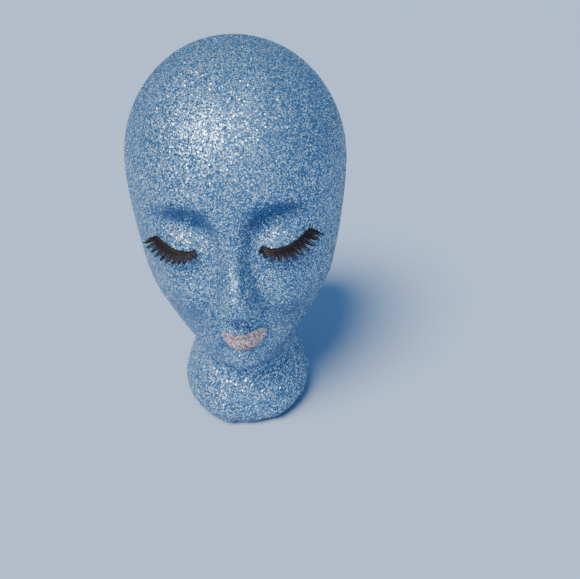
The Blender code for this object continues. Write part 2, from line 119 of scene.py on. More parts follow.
camera = bpy.data.objects.new("camera", bpy.data.cameras.new("camera"))
camera.data.lens = LENS_MM
turn = Matrix.Rotation(math.radians(CAMERA_TURN), 4, "Z")
pitch = Matrix.Rotation(math.radians(90 - CAMERA_PITCH), 4, "X")
roll = Matrix.Rotation(math.radians(CAMERA_ROLL), 4, "Z")
camera.matrix_world = Matrix.Translation(CAMERA_PLACE) @ turn @ pitch @ roll
camera.data.clip_start = 0.01
bpy.context.scene.collection.objects.link(camera)
bpy.context.scene.camera = camera
print("camera at", CAMERA_PLACE)

# %% Lights and floor
def add_sun(name, towards, strength, spread, colour):
    """A distant lamp. towards points from the head to the lamp, and spread is its width in degrees."""
    lamp = bpy.data.lights.new(name, "SUN")
    lamp.energy = strength
    lamp.angle = math.radians(spread)
    lamp.color = colour
    made = bpy.data.objects.new(name, lamp)
    made.rotation_euler = Vector(towards).to_track_quat("Z", "Y").to_euler()
    bpy.context.scene.collection.objects.link(made)
    print(name, strength)


add_sun("key_light", (-0.46, -0.74, 1.05), 5.2, 30, (1.0, 0.985, 0.95))
add_sun("fill_light", (0.9, -0.6, 0.7), 0.15, 60, (0.75, 0.87, 1.0))

world = bpy.data.worlds.new("room")
world.use_nodes = True
world.node_tree.nodes["Background"].inputs["Color"].default_value = (0.22, 0.50, 1.0, 1)
world.node_tree.nodes["Background"].inputs["Strength"].default_value = 0.46
bpy.context.scene.world = world

FLOOR_REACH = 30.0
floor_mesh = bpy.data.meshes.new("floor")
corners = [(-FLOOR_REACH, -FLOOR_REACH), (FLOOR_REACH, -FLOOR_REACH)]
corners += [(FLOOR_REACH, FLOOR_REACH), (-FLOOR_REACH, FLOOR_REACH)]
floor_mesh.from_pydata([(x, y, 0) for x, y in corners], [], [(0, 1, 2, 3)])
floor_paper = bpy.data.materials.new("floor_paper")
floor_paper.use_nodes = True
paper = floor_paper.node_tree.nodes["Principled BSDF"]
paper.inputs["Base Color"].default_value = (0.42, 0.53, 0.68, 1)
paper.inputs["Roughness"].default_value = 0.9
floor_mesh.materials.append(floor_paper)
floor = bpy.data.objects.new("floor", floor_mesh)
bpy.context.scene.collection.objects.link(floor)
floor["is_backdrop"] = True

# %% [markdown]
# ## Shader maths in plain Python
#
# A material is a graph of nodes, and a long graph is hard to read as a list of links. Here a small
# class wraps one output, so that 1 - mask or size * 2 adds the Math node that does it. A second class
# builds a material, and its one method makes every other kind of node.

# %% Wires
class Wire:
    """A number that the shader works out. Arithmetic on it adds Math nodes."""

    def __init__(self, finish, socket):
        self.finish = finish
        self.socket = socket

    def maths(self, operation, *values, clamp=False):
        settings = {"operation": operation, "use_clamp": clamp}
        return self.finish.node("ShaderNodeMath", settings, dict(enumerate(values)))["Value"]

    def __add__(self, other):
        return self.maths("ADD", self, other)

    def __sub__(self, other):
        return self.maths("SUBTRACT", self, other)

    def __rsub__(self, other):
        return self.maths("SUBTRACT", other, self)

    def __mul__(self, other):
        return self.maths("MULTIPLY", self, other)

    def over(self, low, high):
        """0 where the number is at low or less, 1 where it is at high or more."""
        return self.maths("DIVIDE", self - low, high - low, clamp=True)

    __radd__ = __add__
    __rmul__ = __mul__


# %% Finishes
class Outputs:
    """A node's outputs by name, as wires."""

    def __init__(self, finish, node):
        self.finish = finish
        self.node = node

    def __getitem__(self, name):
        return Wire(self.finish, self.node.outputs[name])


class Finish:
    """A material whose every node is made by one method."""

    def __init__(self, name, **plain):
        self.material = bpy.data.materials.new(name)
        self.material.use_nodes = True
        self.tree = self.material.node_tree
        self.shader = self.tree.nodes["Principled BSDF"]
        self.feed(self.shader, {key.replace("_", " "): value for key, value in plain.items()})

    def feed(self, node, inputs):
        for name, value in inputs.items():
            if isinstance(value, Wire):
                self.tree.links.new(value.socket, node.inputs[name])
            else:
                node.inputs[name].default_value = value

    def node(self, kind, settings=None, inputs=None):
        made = self.tree.nodes.new(kind)
        for name, value in (settings or {}).items():
            if name == "stops":
                self.set_stops(made.color_ramp, value)
            else:
                setattr(made, name, value)
        self.feed(made, inputs or {})
        return Outputs(self, made)

    def set_stops(self, ramp, stops):
        while len(ramp.elements) < len(stops):
            ramp.elements.new(1.0)
        for element, (place, colour) in zip(ramp.elements, stops):
            element.position = place
            element.color = (*colour, 1)

    def ramp(self, value, stops):
        return self.node("ShaderNodeValToRGB", {"stops": stops}, {"Fac": value})["Color"]

    def mix(self, share, first, second):
        """One colour turning into another as the share goes from 0 to 1."""
        inputs = {0: share, 6: first, 7: second}
        return Wire(self, self.node("ShaderNodeMix", {"data_type": "RGBA"}, inputs).node.outputs[2])

    def vector(self, operation, *values):
        made = self.node("ShaderNodeVectorMath", {"operation": operation}, dict(enumerate(values)))
        return made["Vector"]


print("shader classes ready")

# %% [markdown]
# ## The shape of the head
#
# A foam head is a stack of level ovals that closes over the crown, with a face standing out of it.
# Each oval's width, front and back follow a smooth curve up the head, and the nose, lids, lips and
# chin are soft swellings added to it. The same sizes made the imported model. Working them out again on
# a finer grid gives a smooth skin without dents, which smoothing the coarse one wouldn't. Lengths
# here are in millimetres about the neck's axis.

# %% Sizes of the head
HEAD_HEIGHT = 273.0
HEAD_WIDTH = 151.0
HEAD_BACK = 98.0  # from the neck's axis to the back of the skull
FACE_FRONT = 89.5  # from the neck's axis to the forehead
NECK_WIDTH = 74.0
FOOT_WIDTH = 99.0
COAT_HEM = 1.0

FOOT_LEVEL = 21.0
THROAT_LEVEL = 50.0
CHIN_LEVEL = 74.0
MOUTH_LEVEL = 98.5
NOSE_BASE_LEVEL = 115.5
NOSE_TIP_LEVEL = 133.0
LASH_LEVEL = 161.0
BROW_LEVEL = 193.0
WIDEST_LEVEL = 196.0

NOSE_RISE = 21.0
FACE_TILT = 2.5  # degrees that the moulded face is turned about the chin
NECK_AXIS_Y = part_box("glitter_coat")[1].y / MM - HEAD_BACK
print("neck's axis at y =", round(NECK_AXIS_Y, 2), "mm")

# %% Curves
def between(low, high, share):
    return low + (high - low) * share


def through(points, at):
    """A smooth curve through (place, value) points, level at its last point."""
    places, values = np.array(points, float).T
    steps = np.diff(places)
    slopes = np.diff(values) / steps
    tangents = np.zeros(len(places))
    tangents[0] = slopes[0]
    tangents[1:-1] = (slopes[:-1] * steps[1:] + slopes[1:] * steps[:-1]) / (steps[1:] + steps[:-1])
    at = np.clip(at, places[0], places[-1])
    i = np.clip(np.searchsorted(places, at, side="right") - 1, 0, len(steps) - 1)
    t = (at - places[i]) / steps[i]
    return (
        (2 * t**3 - 3 * t**2 + 1) * values[i]
        + (t**3 - 2 * t**2 + t) * steps[i] * tangents[i]
        + (3 * t**2 - 2 * t**3) * values[i + 1]
        + (t**3 - t**2) * steps[i] * tangents[i + 1]
    )


def bell(distance):
    """1 in the middle of a swelling, falling smoothly to 0 at its rim, a distance of 1 away."""
    return (1 - np.clip(distance, 0, 1) ** 2) ** 2


def ease(low, high, value):
    t = np.clip((value - low) / (high - low), 0, 1)
    return t * t * (3 - 2 * t)


print("half way up a swelling:", bell(0.54).round(2))

# %% Level sections
HALF = HEAD_WIDTH / 2
NECK = NECK_WIDTH / 2
FOOT = FOOT_WIDTH / 2
BACK_SQUARENESS = 2.1
CROWN_SETBACK = 10.0

HALF_WIDTHS = (
    (0, FOOT - 15),
    (5, FOOT - 7),
    (12, FOOT - 2),
    (FOOT_LEVEL, FOOT),
    (between(FOOT_LEVEL, THROAT_LEVEL, 0.5), between(FOOT, NECK, 0.28)),
    (THROAT_LEVEL, between(FOOT, NECK, 0.72)),
    (between(THROAT_LEVEL, CHIN_LEVEL, 0.55), NECK),
    (CHIN_LEVEL - 2, NECK + 1.5),
    (between(CHIN_LEVEL, MOUTH_LEVEL, 0.5), between(NECK, HALF, 0.325)),
    (MOUTH_LEVEL, between(NECK, HALF, 0.51)),
    (between(MOUTH_LEVEL, NOSE_TIP_LEVEL, 0.6), between(NECK, HALF, 0.745)),
    (between(NOSE_TIP_LEVEL, LASH_LEVEL, 0.25), between(NECK, HALF, 0.86)),
    (LASH_LEVEL, between(NECK, HALF, 0.94)),
    (between(LASH_LEVEL, WIDEST_LEVEL, 0.55), HALF - 0.5),
    (WIDEST_LEVEL, HALF),
)
FRONTS = (
    (0, FOOT - 2),
    (5, FOOT + 4),
    (12, FOOT + 7.5),
    (FOOT_LEVEL, FOOT + 7.5),
    (between(FOOT_LEVEL, THROAT_LEVEL, 0.5), FOOT + 2),
    (THROAT_LEVEL, FOOT - 2),
    (between(THROAT_LEVEL, CHIN_LEVEL, 0.22), FOOT - 1),
    (between(THROAT_LEVEL, CHIN_LEVEL, 0.45), FACE_FRONT - 28),
    (between(THROAT_LEVEL, CHIN_LEVEL, 0.72), FACE_FRONT - 18.5),
    (CHIN_LEVEL + 3, FACE_FRONT - 14.5),
    (MOUTH_LEVEL - 4, FACE_FRONT - 12),
    (between(MOUTH_LEVEL, NOSE_BASE_LEVEL, 0.6), FACE_FRONT - 9),
    (between(NOSE_BASE_LEVEL, NOSE_TIP_LEVEL, 0.5), FACE_FRONT - 7),
    (between(NOSE_TIP_LEVEL, LASH_LEVEL, 0.4), FACE_FRONT - 7.5),
    (LASH_LEVEL + 4, FACE_FRONT - 6.5),
    (BROW_LEVEL - 10, FACE_FRONT - 1.5),
    (WIDEST_LEVEL, FACE_FRONT),
)
BACKS = (
    (0, FOOT - 6),
    (5, FOOT - 0.5),
    (12, FOOT + 3),
    (FOOT_LEVEL, FOOT + 4),
    (THROAT_LEVEL - 4, FOOT - 2),
    (CHIN_LEVEL - 6, FOOT),
    (MOUTH_LEVEL - 5, between(FOOT, HEAD_BACK, 0.25)),
    (between(MOUTH_LEVEL, NOSE_TIP_LEVEL, 0.6), between(FOOT, HEAD_BACK, 0.6)),
    (between(NOSE_TIP_LEVEL, LASH_LEVEL, 0.45), between(FOOT, HEAD_BACK, 0.84)),
    (between(LASH_LEVEL, WIDEST_LEVEL, 0.25), HEAD_BACK - 2),
    (WIDEST_LEVEL, HEAD_BACK),
)
MIDDLES = (
    (0, 0),
    (THROAT_LEVEL, 0),
    (CHIN_LEVEL + 2, -4),
    (MOUTH_LEVEL + 6, -2),
    (NOSE_TIP_LEVEL, 2),
    (LASH_LEVEL, 8),
    (WIDEST_LEVEL, 12),
)
FRONT_SQUARENESS = (
    (0, 2.0),
    (THROAT_LEVEL, 2.0),
    (CHIN_LEVEL - 8, 1.75),
    (CHIN_LEVEL + 7, 1.75),
    (MOUTH_LEVEL + 6, 1.85),
    (NOSE_TIP_LEVEL - 3, 2.05),
    (LASH_LEVEL, 2.2),
    (WIDEST_LEVEL, 2.2),
)
print("levels set from", HALF_WIDTHS[0][0], "to", HALF_WIDTHS[-1][0], "mm")

# %% The face
NOSE_PROFILE = (
    (NOSE_BASE_LEVEL, 0),
    (NOSE_BASE_LEVEL + 2.0, 0.16 * NOSE_RISE),
    (NOSE_BASE_LEVEL + 4.5, 0.55 * NOSE_RISE),
    (NOSE_BASE_LEVEL + 8.5, 0.87 * NOSE_RISE),
    (NOSE_TIP_LEVEL - 3.5, 0.98 * NOSE_RISE),
    (NOSE_TIP_LEVEL + 1, NOSE_RISE),
    (NOSE_TIP_LEVEL + 7, 0.90 * NOSE_RISE),
    (between(NOSE_TIP_LEVEL, LASH_LEVEL, 0.6), 0.66 * NOSE_RISE),
    (LASH_LEVEL, 0.44 * NOSE_RISE),
    (between(LASH_LEVEL, BROW_LEVEL, 0.35), 0.24 * NOSE_RISE),
    (between(LASH_LEVEL, BROW_LEVEL, 0.7), 0.10 * NOSE_RISE),
    (BROW_LEVEL + 4, 0),
)
NOSE_HALF_WIDTHS = (
    (NOSE_BASE_LEVEL, 19.0),
    (NOSE_BASE_LEVEL + 8, 19.0),
    (NOSE_TIP_LEVEL, 16.5),
    (between(NOSE_TIP_LEVEL, LASH_LEVEL, 0.5), 12.5),
    (LASH_LEVEL, 11.5),
    (between(LASH_LEVEL, BROW_LEVEL, 0.4), 14.0),
    (BROW_LEVEL + 4, 26.0),
)
# How far from the middle, level, reach across, reach up and down, and rise.
SWELLINGS = {
    "nostril wing": (12.0, NOSE_BASE_LEVEL + 8.5, 8.0, 7.5, 5.0),
    "eye socket": (28.0, LASH_LEVEL + 16.0, 26.0, 18.0, -6.2),
    "inner corner": (16.5, LASH_LEVEL + 10.0, 10.5, 15.0, -3.6),
    "eyelid": (33.0, LASH_LEVEL + 3.5, 20.0, 15.0, 4.6),
    "brow": (30.0, BROW_LEVEL + 1.0, 32.0, 13.0, 2.0),
    "cheekbone": (35.0, LASH_LEVEL - 31.0, 27.0, 28.0, 4.8),
    "cheek hollow": (29.0, MOUTH_LEVEL + 5.0, 18.0, 22.0, -1.6),
    "muzzle": (0.0, MOUTH_LEVEL + 3.0, 26.0, 21.0, 2.6),
    "upper lip": (4.0, MOUTH_LEVEL + 4.0, 12.5, 5.8, 2.6),
    "lower lip": (0.0, MOUTH_LEVEL - 5.5, 14.0, 8.0, 4.0),
    "lip crease": (0.0, MOUTH_LEVEL - 13.0, 18.0, 6.5, -0.8),
    "chin": (0.0, CHIN_LEVEL - 1.0, 22.0, 13.0, 3.2),
    # Only the fine skin has these.
    "nostril": (6.0, NOSE_BASE_LEVEL + 3.5, 3.6, 2.6, -1.6),
    "wing crease": (19.5, NOSE_BASE_LEVEL + 7.0, 3.0, 8.0, -1.3),
    "philtrum": (0.0, MOUTH_LEVEL + 11.5, 2.8, 7.0, -0.9),
    "philtrum edge": (3.8, MOUTH_LEVEL + 10.5, 2.6, 7.5, 0.5),
    "mouth corner": (15.0, MOUTH_LEVEL + 0.8, 4.0, 3.0, -0.9),
}


def turned(across, level, degrees):
    """A place on the front of the head, turned about the chin."""
    angle = math.radians(degrees)
    up = level - CHIN_LEVEL
    return (
        across * math.cos(angle) - up * math.sin(angle),
        CHIN_LEVEL + up * math.cos(angle) + across * math.sin(angle),
    )


def lip_seam(across, level):
    """The groove between the lips, which dips in the middle."""
    line = MOUTH_LEVEL + 0.4 - 1.0 * bell(across / 5) + 0.6 * bell((abs(across) - 7) / 5)
    return -1.3 * bell((level - line) / 1.7) * ease(15.5, 11.5, abs(across))


CREASE_REACH = 17.0  # from the middle of the nose to where its crease meets the cheek
CREASE_CLIMB = 4.5
CREASE_DEPTH = 1.7
CREASE_HALF_WIDTH = 2.6


def nose_crease(off_middle, level):
    """The fold that the nose makes with the lip, which rises towards the cheeks."""
    line = NOSE_BASE_LEVEL + 1.0 + CREASE_CLIMB * (off_middle / CREASE_REACH) ** 2
    fading = ease(CREASE_REACH + 3, CREASE_REACH - 4, off_middle)
    return -CREASE_DEPTH * bell((level - line) / CREASE_HALF_WIDTH) * fading


def face_relief(across, level):
    """How far the nose, eyes, lips and chin stand out of the plain section."""
    across, level = turned(across, level, -FACE_TILT)
    off_middle = np.abs(across)
    nose = through(NOSE_PROFILE, level) * (level > NOSE_BASE_LEVEL) * (level < BROW_LEVEL + 4)
    relief = nose * (1 - ease(0.14, 1, off_middle / through(NOSE_HALF_WIDTHS, level)))
    for middle, height, reach, climb, rise in SWELLINGS.values():
        relief = relief + rise * bell(np.hypot((off_middle - middle) / reach, (level - height) / climb))
    return relief + lip_seam(across, level) + nose_crease(off_middle, level)


print(len(SWELLINGS), "swellings and hollows")

# %% Points on the head
def section(level, shrink, crown_share):
    """Half width, front, back, middle and squareness of the level section, as it closes to the crown."""
    half = through(HALF_WIDTHS, level) * shrink
    middle, front, back = (
        between(CROWN_SETBACK, value, shrink)
        for value in (through(MIDDLES, level), -through(FRONTS, level), through(BACKS, level))
    )
    return half, front, back, middle, through(FRONT_SQUARENESS, level) - 0.2 * crown_share


def head_points(angles, level, dome=0.0):
    """Points round the head. dome runs from 0 at the widest level to a right angle at the crown."""
    shrink = math.cos(dome)
    half, front, back, middle, squareness = section(level, shrink, 1 - shrink)
    height = level + (HEAD_HEIGHT - level) * math.sin(dome)
    ahead, aside = np.cos(angles), np.sin(angles)
    x = half * np.sign(aside) * np.abs(aside) ** (2 / squareness)
    y = np.where(
        ahead > 0,
        middle - (middle - front) * np.abs(ahead) ** (2 / squareness),
        middle + (back - middle) * np.abs(ahead) ** (2 / BACK_SQUARENESS),
    )
    y = y - face_relief(x, height) * ease(0, 0.35, ahead)
    return np.stack([x, y, np.full_like(x, height)], axis=-1)


COLUMNS = 220
FACE_SPREAD = 0.5  # 1 spaces the columns evenly, and less crowds them towards the nose
FOOT_ROWS = 22
FACE_ROWS = 86
TEMPLE_ROWS = 46
DOME_ROWS = 56
share = np.arange(COLUMNS) / COLUMNS * 2 - 1
angles = math.pi * (FACE_SPREAD * share + (1 - FACE_SPREAD) * share**3)
levels = np.concatenate([
    np.linspace(COAT_HEM, THROAT_LEVEL, FOOT_ROWS, endpoint=False),
    np.linspace(THROAT_LEVEL, NOSE_TIP_LEVEL + 6, FACE_ROWS, endpoint=False),
    np.linspace(NOSE_TIP_LEVEL + 6, WIDEST_LEVEL, TEMPLE_ROWS, endpoint=False),
])
domes = np.linspace(0, math.pi / 2, DOME_ROWS, endpoint=False)
rows = [head_points(angles, level) for level in levels]
rows += [head_points(angles, WIDEST_LEVEL, dome) for dome in domes]
skin_grid = np.array(rows)
print("skin grid:", skin_grid.shape[:2])

# %% [markdown]
# ## Grids, pieces and the foam
#
# Every rounded piece here is a grid of points, row above row, closed into one body. The foam's grid
# starts inside the clamp socket under the neck, comes out over the sole, climbs the outside of the
# head and ends on the crown. Only its sole shows. The mesh keeps its own coordinates in the frame,
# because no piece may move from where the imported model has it.

# %% Making pieces
def in_frame(points):
    """Millimetres about the neck's axis, as metres in the frame."""
    return (np.asarray(points, float) + (0, NECK_AXIS_Y, 0)) * MM


def add_piece(name, points, faces, materials, slot, nodes, indices=None, smooth=True):
    """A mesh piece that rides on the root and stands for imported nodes."""
    mesh = bpy.data.meshes.new(name)
    mesh.from_pydata(in_frame(points), [], faces)
    for material in materials:
        mesh.materials.append(material)
    if indices is not None:
        mesh.polygons.foreach_set("material_index", indices)
    if smooth:
        mesh.shade_smooth()
    piece = bpy.data.objects.new(name, mesh)
    bpy.context.scene.collection.objects.link(piece)
    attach(piece, "root")
    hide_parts(*nodes)
    print(f"{name}: {len(mesh.vertices)} points, {len(mesh.polygons)} faces")
    return piece


def round_grid(rows, first=None, last=None):
    """Points and faces of rows that each run right round, closed by a first and a last point."""
    count, columns = rows.shape[:2]
    points = list(rows.reshape(-1, 3))
    faces = []
    for row in range(count - 1):
        low = row * columns
        for i in range(columns):
            j = (i + 1) % columns
            faces.append((low + i, low + j, low + columns + j, low + columns + i))
    if first is not None:
        points.append(first)
        faces += [((i + 1) % columns, i, len(points) - 1) for i in range(columns)]
    if last is not None:
        points.append(last)
        top = (count - 1) * columns
        faces += [(top + i, top + (i + 1) % columns, len(points) - 1) for i in range(columns)]
    return points, faces


def grid_normals(rows):
    """The outward direction at every point of a round grid."""
    round_it = np.roll(rows, -1, axis=1) - np.roll(rows, 1, axis=1)
    normals = np.cross(round_it, np.gradient(rows, axis=0))
    return normals / np.linalg.norm(normals, axis=2, keepdims=True)


# %% Foam
SOCKET_RADIUS = 14.0
SOCKET_DEPTH = 60.0
COAT_THICKNESS = 0.7
FOAM_GAP = 0.3


def white_foam():
    """Steam-moulded beads: pressed flat against the mould, with fine seams between them."""
    finish = Finish("white_foam", Roughness=0.75)
    place = finish.node("ShaderNodeTexCoord")["Object"]
    inputs = {"Vector": place, "Scale": 1 / (3.4 * MM), "Randomness": 0.85}
    settings = {"voronoi_dimensions": "3D", "feature": "DISTANCE_TO_EDGE"}
    seam = 1 - finish.node("ShaderNodeTexVoronoi", settings, inputs)["Distance"].over(0.0, 0.09)
    patches = finish.node("ShaderNodeTexNoise", inputs={"Vector": place, "Scale": 60.0})["Fac"]
    white = finish.mix(patches, (0.86, 0.87, 0.87, 1), (0.93, 0.93, 0.92, 1))
    dent = {"Height": 1 - seam, "Distance": 0.12 * MM, "Strength": 0.6}
    normal = finish.node("ShaderNodeBump", inputs=dent)["Normal"]
    colour = finish.mix(seam * 0.5, white, (0.70, 0.72, 0.74, 1))
    finish.feed(finish.shader, {"Base Color": colour, "Normal": normal})
    return finish.material


def ring(radius, level):
    x, y = radius * np.sin(angles), -radius * np.cos(angles)
    return np.stack([x, y, np.full(len(angles), level)], axis=-1)


outside = skin_grid - grid_normals(skin_grid) * (COAT_THICKNESS + FOAM_GAP)
hem = outside[0] * (1, 1, 0)
socket = [ring(SOCKET_RADIUS - 1.5, SOCKET_DEPTH), ring(SOCKET_RADIUS, SOCKET_DEPTH - 1.5)]
socket += [ring(SOCKET_RADIUS, level) for level in np.linspace(SOCKET_DEPTH - 4, 1.2, 14)]
socket += [ring(SOCKET_RADIUS + 0.35, 0.35), ring(SOCKET_RADIUS + 1.2, 0.0)]
sole = [between(ring(SOCKET_RADIUS + 1.2, 0.0), hem * 0.975, share) for share in (0.2, 0.4, 0.6, 0.8, 1)]
edge = [hem * 0.99 + (0, 0, 0.25), hem + (0, 0, 0.8)]
foam_rows = np.array(socket + sole + edge + list(outside[1:]))
crown = np.array((0, CROWN_SETBACK, HEAD_HEIGHT))
inner_crown = crown - (0, 0, COAT_THICKNESS + FOAM_GAP)
foam = add_piece(
    "foam_core", *round_grid(foam_rows, (0, 0, SOCKET_DEPTH), inner_crown), [white_foam()], "white_foam",
    ["foam_head"],
)

# %% [markdown]
# ## The skin of glue and glitter
#
# On the real head the glitter is a layer of its own, laid over the foam. A grid of quads makes the
# outside, and Blender's Solidify modifier gives it its thickness inwards, so it closes over the hem
# at the foot like a real coat. Glitter is film cut into tiny plates that lie at every angle. In the
# finish a Voronoi texture splits the skin into cells the size of a flake and gives each a random
# colour. That colour picks the flake's tint from a ramp and tips its normal, so neighbouring flakes
# catch different lights. The dark rims between cells are the blue paint under the glitter.

# %% Glitter
def flake_cells(finish, place, width):
    """Random cells of a width in millimetres: a random colour each, and 1 near their rims."""
    inputs = {"Vector": place, "Scale": 1 / (width * MM), "Randomness": 1.0}
    cells = finish.node("ShaderNodeTexVoronoi", {"voronoi_dimensions": "3D"}, inputs)
    return cells["Color"], cells["Distance"].over(0.38, 0.62)


def glitter(name, width, tints, paint_and_shade, tip, foot_width=None):
    """A bed of flakes. tints is a ramp from the darkest flake to the brightest."""
    finish = Finish(name, Metallic=0.45, Roughness=0.36)
    place = finish.node("ShaderNodeTexCoord")["Object"]
    chance, rim = flake_cells(finish, place, width)
    if foot_width:
        level = finish.node("ShaderNodeSeparateXYZ", inputs={"Vector": place})["Z"]
        below = 1 - level.over(THROAT_LEVEL * MM, CHIN_LEVEL * MM)
        foot_chance, foot_rim = flake_cells(finish, place, foot_width)
        chance = finish.mix(below, chance, foot_chance)
        rim = rim * (1 - below) + foot_rim * below
    pick = finish.node("ShaderNodeSeparateColor", inputs={"Color": chance})["Red"]
    straight = finish.node("ShaderNodeNewGeometry")["Normal"]
    facing_up = finish.node("ShaderNodeSeparateXYZ", inputs={"Vector": straight})["Z"]
    # On surfaces that face down the colour goes over to the paint: partly bare paint, where less glitter
    # sticks, and partly painted shade under the brows, nose and chin.
    unshaded_glitter_cover = facing_up.over(-0.70, -0.12)
    colour = finish.mix(rim * 0.75, finish.ramp(pick, tints), (*paint_and_shade, 1))
    colour = finish.mix(between(0.25, 1, unshaded_glitter_cover), (*paint_and_shade, 1), colour)
    lean = finish.vector("SUBTRACT", chance, (0.5, 0.5, 0.5))
    lean = finish.vector("MULTIPLY", lean, (tip, tip, tip))
    normal = finish.vector("NORMALIZE", finish.vector("ADD", straight, lean))
    finish.feed(finish.shader, {"Base Color": colour, "Normal": normal})
    return finish.material


BLUE_BED = (
    (0.00, (0.035, 0.110, 0.230)),
    (0.35, (0.080, 0.190, 0.320)),
    (0.65, (0.170, 0.330, 0.460)),
    (0.85, (0.400, 0.580, 0.680)),
    (1.00, (0.780, 0.900, 0.940)),
)
# The blue paint shows between the flakes, and on surfaces that face down it also serves as painted shade.
BLUE_PAINT_AND_SHADE = (0.018, 0.085, 0.250)
blue_glitter = glitter("blue_glitter", 0.75, BLUE_BED, BLUE_PAINT_AND_SHADE, 0.8, foot_width=1.0)
skin = add_piece(
    "glitter_skin", *round_grid(skin_grid, last=crown), [blue_glitter], "blue_glitter", ["glitter_coat"]
)
solid = skin.modifiers.new("coat", "SOLIDIFY")
solid.thickness = COAT_THICKNESS * MM
solid.offset = -1

# %% [markdown]
# ## Where the lips and lashes go
#
# The lip patch and the lashes lie on the finished skin, so they are placed by dropping a point onto it
# along a line from in front of the face. A tree of the skin's faces answers that quickly. The same
# outline that shapes the lip patch keeps the blue flakes off it.

# %% Finding the skin
skin_points, skin_faces = round_grid(skin_grid, last=crown)
skin_tree = BVHTree.FromPolygons([Vector(point) for point in skin_points], skin_faces)


def face_point(across, level):
    """The point and the outward direction of the skin at this place on the front of the head."""
    far_ahead = Vector((across, -2 * HEAD_HEIGHT, level))
    point, normal, _, _ = skin_tree.ray_cast(far_ahead, Vector((0, 1, 0)))
    return np.array(point), np.array(normal)


def smooth_normal(across, level):
    """The outward direction, taken over a few millimetres."""
    step = 2.0
    right = face_point(across + step, level)[0] - face_point(across - step, level)[0]
    up = face_point(across, level + step)[0] - face_point(across, level - step)[0]
    normal = np.cross(right, up)
    return normal / np.linalg.norm(normal)


MOUTH_WIDTH = 29.5
LIP_MIDDLE = 1.5  # the painted lips lie a little to one side
UPPER_LIP_HEIGHT = 5.6
LOWER_LIP_HEIGHT = 13.8
# The painted edges: shares of the half width, and of each lip's height.
UPPER_EDGE = ((-1, 0.36), (-0.86, 0.76), (-0.58, 0.87), (-0.14, 0.68), (0.3, 0.92), (0.8, 1), (1, 0.72))
LOWER_EDGE = ((-1, 0.1), (-0.75, 0.52), (-0.4, 0.86), (0, 1), (0.45, 0.84), (0.82, 0.44), (1, 0.04))


def lip_edges(share):
    """The levels of the lower and upper edge, from -1 at one corner to 1 at the other."""
    lower = MOUTH_LEVEL - LOWER_LIP_HEIGHT * through(LOWER_EDGE, share)
    return lower, MOUTH_LEVEL + UPPER_LIP_HEIGHT * through(UPPER_EDGE, share)


def on_lips(points):
    across, level = turned(points[:, 0], points[:, 2], -FACE_TILT)
    share = (across - LIP_MIDDLE) / (MOUTH_WIDTH / 2)
    lower, upper = lip_edges(share)
    return (abs(share) < 1) & (level > lower) & (level < upper) & (points[:, 1] < 0)


print("tip of the nose:", face_point(*turned(0, NOSE_TIP_LEVEL, FACE_TILT))[0].round(1))

# %% [markdown]
# ## Loose flakes
#
# A finish alone gives a smooth outline, but real glitter stands up in a rough crust that sparkles.
# So thousands of real plates go on top: hexagons, as the film is cut, each tilted and turned at random
# and drawn down to a point in the glue, which closes it into a solid. They are scattered by area with
# a seeded generator, so every run gives the same head. Fewer stay on surfaces that face down, where
# glitter falls off before the glue dries, and the ones on the neck and foot are bigger and sparser.

# %% Scattering flakes
def quad_scatter(rows, density, random):
    """Random points spread over a grid's quads, and the directions out of them."""
    a, b = rows[:-1], np.roll(rows[:-1], -1, axis=1)
    c, d = np.roll(rows[1:], -1, axis=1), rows[1:]
    facing = np.cross(c - a, d - b) / 2
    area = np.linalg.norm(facing, axis=2)
    normals = facing / area[..., None]
    expected = (area * density((a + c) / 2, normals)).reshape(-1)
    count = int(expected.sum())
    chosen = random.choice(expected.size, count, p=expected / expected.sum())
    u, v = random.random((2, count, 1))
    a, b, c, d, normals = (part.reshape(-1, 3)[chosen] for part in (a, b, c, d, normals))
    return a * (1 - u) * (1 - v) + b * u * (1 - v) + c * u * v + d * (1 - u) * v, normals


FLAKE_CORNERS = 6
FLAKE_LIFT = 0.12
FLAKE_DEPTH = 0.45  # of its width, down to the point in the glue
HEXAGON_AREA = 0.65  # of the square on its width


def add_flakes(name, places, normals, widths, tilt, tints, slot, nodes, random):
    """One mesh of closed hexagonal flakes. tints gives (material, share) pairs."""
    count = len(places)
    widths = widths[:, None]
    loose = random.normal(size=(count, 3))
    side = np.cross(normals, loose)
    side /= np.linalg.norm(side, axis=1, keepdims=True)
    level_side = np.cross(normals, side)
    lean = np.radians(np.clip(random.normal(0, tilt, (count, 1)), -2.2 * tilt, 2.2 * tilt))
    out = normals * np.cos(lean) + level_side * np.sin(lean)
    steep_side = level_side * np.cos(lean) - normals * np.sin(lean)
    centres = places + normals * (FLAKE_LIFT + 0.3 * widths * np.sin(abs(lean)))
    corners = []
    for turn in np.arange(FLAKE_CORNERS) * 2 * math.pi / FLAKE_CORNERS:
        corners.append(centres + (side * math.cos(turn) + steep_side * math.sin(turn)) * widths / 2)
    corners.append(centres - out * widths * FLAKE_DEPTH)
    points = np.stack(corners, axis=1).reshape(-1, 3)
    point = FLAKE_CORNERS
    plate = [tuple(range(FLAKE_CORNERS))]
    plate += [((i + 1) % FLAKE_CORNERS, i, point) for i in range(FLAKE_CORNERS)]
    faces = [
        tuple(first + corner for corner in face)
        for first in range(0, count * (FLAKE_CORNERS + 1), FLAKE_CORNERS + 1)
        for face in plate
    ]
    shares = np.array([share for _, share in tints])
    tint = random.choice(len(tints), count, p=shares / shares.sum())
    materials = [material for material, _ in tints]
    indices = np.repeat(tint, len(plate))
    return add_piece(name, points, faces, materials, slot, nodes, indices, smooth=False)


def flake_tints(metallic, roughness, tints):
    """Coloured film with a clear gloss, which is what flashes white."""
    made = []
    for name, colour, share in tints:
        finish = Finish(
            name, Base_Color=(*colour, 1), Metallic=metallic, Roughness=roughness, Coat_Weight=0.35,
            Coat_Roughness=0.12,
        )
        made.append((finish.material, share))
    return made


